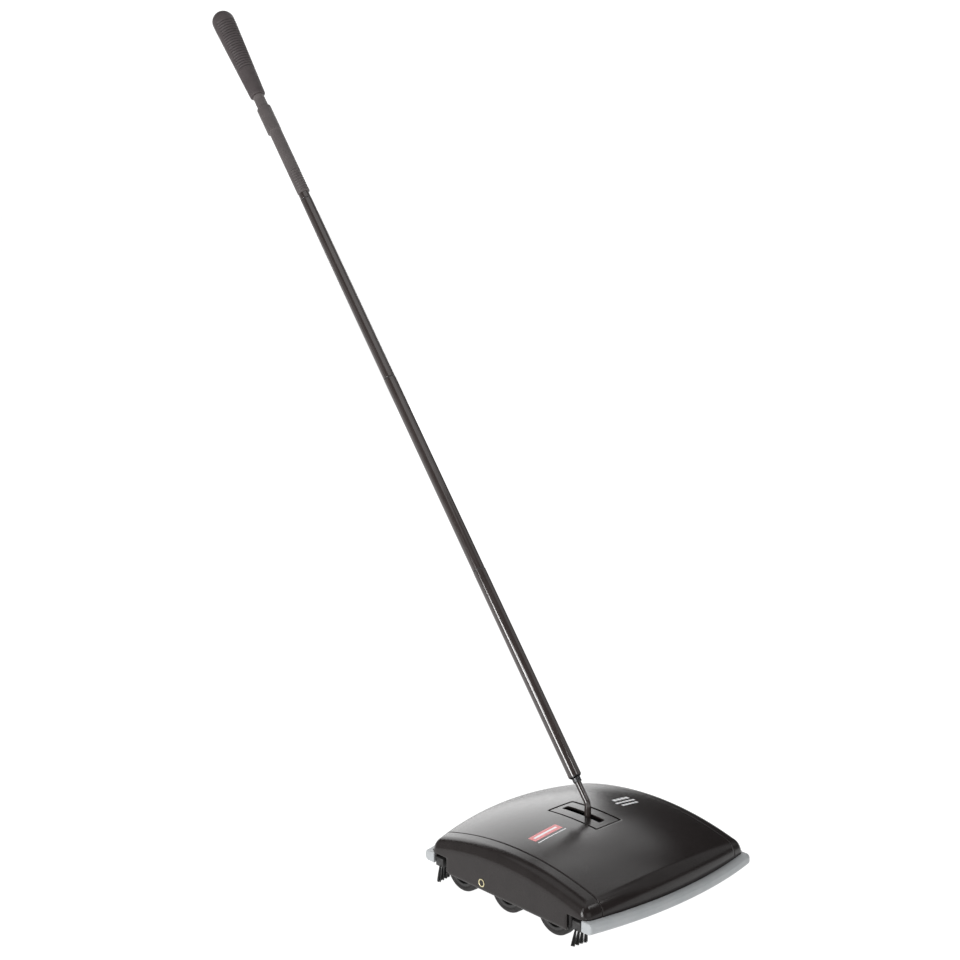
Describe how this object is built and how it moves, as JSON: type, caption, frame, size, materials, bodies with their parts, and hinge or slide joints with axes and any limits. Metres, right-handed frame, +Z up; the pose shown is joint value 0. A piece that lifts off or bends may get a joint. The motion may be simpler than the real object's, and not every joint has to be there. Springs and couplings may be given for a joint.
{
  "type": "carpet sweeper",
  "caption": "Manual carpet sweeper: low bowed head on rubber-tyred wheels that drive nested brush rolls, drop-down dust pans, corner brushes, grey bumpers and a leaning jointed tube handle.",
  "frame": {"origin": "on the floor under the middle of the head, midway between the end caps and between the front and rear wheels", "axes": "+X along the axles to the right end cap, -Y towards the front bumper, +Y the side the handle leans to, +Z up"},
  "size_m": [0.2464, 0.7735, 0.9156],
  "materials": {
    "black_cover": "satin moulded black",
    "grey_vinyl": "light grey vinyl, satin",
    "zinc_steel": "galvanised sheet",
    "dark_steel": "blackened steel",
    "bright_steel": "plated steel",
    "nylon": "natural nylon",
    "brass": "bright turned brass",
    "dark_plastic": "moulded black",
    "bristle": "black bristle",
    "tyre_rubber": "matt black rubber",
    "brush_core": "dark grey moulding",
    "black_enamel": "gloss black enamel",
    "handle_plastic": "fine-grained black",
    "grip": "matt black, ribbed"
  },
  "bodies": {
    "head": {"top_cover": "black_cover", "left_end_cap": "black_cover", "right_end_cap": "black_cover", "front_bumper": "grey_vinyl", "rear_bumper": "grey_vinyl", "handle_insert": "black_cover", "chassis_deck": "zinc_steel", "left_side_plate": "dark_steel", "right_side_plate": "dark_steel", "front_cross_rail": "zinc_steel", "rear_cross_rail": "zinc_steel", "pivot_bracket": "zinc_steel", "bracket_rivets": "bright_steel", "pivot_pin": "bright_steel", "pivot_clip": "dark_steel", "friction_washers": "bright_steel", "axle_studs": "bright_steel", "axle_clips": "dark_steel", "brush_bearings": "nylon", "left_brass_bush": "brass", "right_brass_bush": "brass", "front_left_brush_holder": "dark_plastic", "front_right_brush_holder": "dark_plastic", "rear_left_brush_holder": "dark_plastic", "rear_right_brush_holder": "dark_plastic", "front_left_tufts": "bristle", "front_right_tufts": "bristle", "rear_left_tufts": "bristle", "rear_right_tufts": "bristle", "front_pan_rod": "bright_steel", "rear_pan_rod": "bright_steel", "cap_screws": "bright_steel", "cover_screws": "bright_steel"},
    "front_left_wheel": {"front_left_tyre": "tyre_rubber", "front_left_hub": "dark_plastic"},
    "middle_left_wheel": {"middle_left_tyre": "tyre_rubber", "middle_left_hub": "dark_plastic"},
    "rear_left_wheel": {"rear_left_tyre": "tyre_rubber", "rear_left_hub": "dark_plastic"},
    "front_right_wheel": {"front_right_tyre": "tyre_rubber", "front_right_hub": "dark_plastic"},
    "middle_right_wheel": {"middle_right_tyre": "tyre_rubber", "middle_right_hub": "dark_plastic"},
    "rear_right_wheel": {"rear_right_tyre": "tyre_rubber", "rear_right_hub": "dark_plastic"},
    "front_brush": {"front_brush_core": "brush_core", "front_brush_bristles": "bristle"},
    "front_pan": {"front_dust_pan": "zinc_steel", "front_pan_spring": "dark_steel"},
    "rear_brush": {"rear_brush_core": "brush_core", "rear_brush_bristles": "bristle"},
    "rear_pan": {"rear_dust_pan": "zinc_steel", "rear_pan_spring": "dark_steel"},
    "handle": {"pivot_rod": "black_enamel", "rod_collar": "handle_plastic", "handle_tubes": "black_enamel", "tube_joiners": "handle_plastic", "handle_sleeve": "handle_plastic", "handle_grip": "grip"}
  },
  "joints": [
    {"name": "handle_lean", "type": "hinge", "parent": "head", "child": "handle", "pos_m": [0, 0, 0.048], "axis": [1, 0, 0], "range_deg": [-42, 31]},
    {"name": "front_brush_spin", "type": "hinge", "parent": "head", "child": "front_brush", "pos_m": [0, -0.0335, 0.0215], "axis": [1, 0, 0], "continuous": true},
    {"name": "rear_brush_spin", "type": "hinge", "parent": "head", "child": "rear_brush", "pos_m": [0, 0.0335, 0.0215], "axis": [1, 0, 0], "continuous": true},
    {"name": "front_left_wheel_spin", "type": "hinge", "parent": "head", "child": "front_left_wheel", "pos_m": [-0.1124, -0.067, 0.024], "axis": [1, 0, 0], "continuous": true},
    {"name": "middle_left_wheel_spin", "type": "hinge", "parent": "head", "child": "middle_left_wheel", "pos_m": [-0.1124, 0, 0.024], "axis": [1, 0, 0], "continuous": true},
    {"name": "rear_left_wheel_spin", "type": "hinge", "parent": "head", "child": "rear_left_wheel", "pos_m": [-0.1124, 0.067, 0.024], "axis": [1, 0, 0], "continuous": true},
    {"name": "front_right_wheel_spin", "type": "hinge", "parent": "head", "child": "front_right_wheel", "pos_m": [0.1124, -0.067, 0.024], "axis": [1, 0, 0], "continuous": true},
    {"name": "middle_right_wheel_spin", "type": "hinge", "parent": "head", "child": "middle_right_wheel", "pos_m": [0.1124, 0, 0.024], "axis": [1, 0, 0], "continuous": true},
    {"name": "rear_right_wheel_spin", "type": "hinge", "parent": "head", "child": "rear_right_wheel", "pos_m": [0.1124, 0.067, 0.024], "axis": [1, 0, 0], "continuous": true},
    {"name": "front_pan_drop", "type": "hinge", "parent": "head", "child": "front_pan", "pos_m": [0, -0.099, 0.016], "axis": [1, 0, 0], "range_deg": [-60, 0], "stiffness_Nm_per_rad": 0.09, "springref_deg": 57.3},
    {"name": "rear_pan_drop", "type": "hinge", "parent": "head", "child": "rear_pan", "pos_m": [0, 0.099, 0.016], "axis": [1, 0, 0], "range_deg": [0, 60], "stiffness_Nm_per_rad": 0.09, "springref_deg": -57.3}
  ],
  "couplings": [
    {"joint": "rear_brush_spin", "follows": "front_brush_spin", "ratio": 1},
    {"joint": "front_left_wheel_spin", "follows": "front_brush_spin", "ratio": -0.3997},
    {"joint": "middle_left_wheel_spin", "follows": "front_brush_spin", "ratio": -0.3997},
    {"joint": "rear_left_wheel_spin", "follows": "front_brush_spin", "ratio": -0.3997},
    {"joint": "front_right_wheel_spin", "follows": "front_brush_spin", "ratio": -0.3997},
    {"joint": "middle_right_wheel_spin", "follows": "front_brush_spin", "ratio": -0.3997},
    {"joint": "rear_right_wheel_spin", "follows": "front_brush_spin", "ratio": -0.3997}
  ]
}
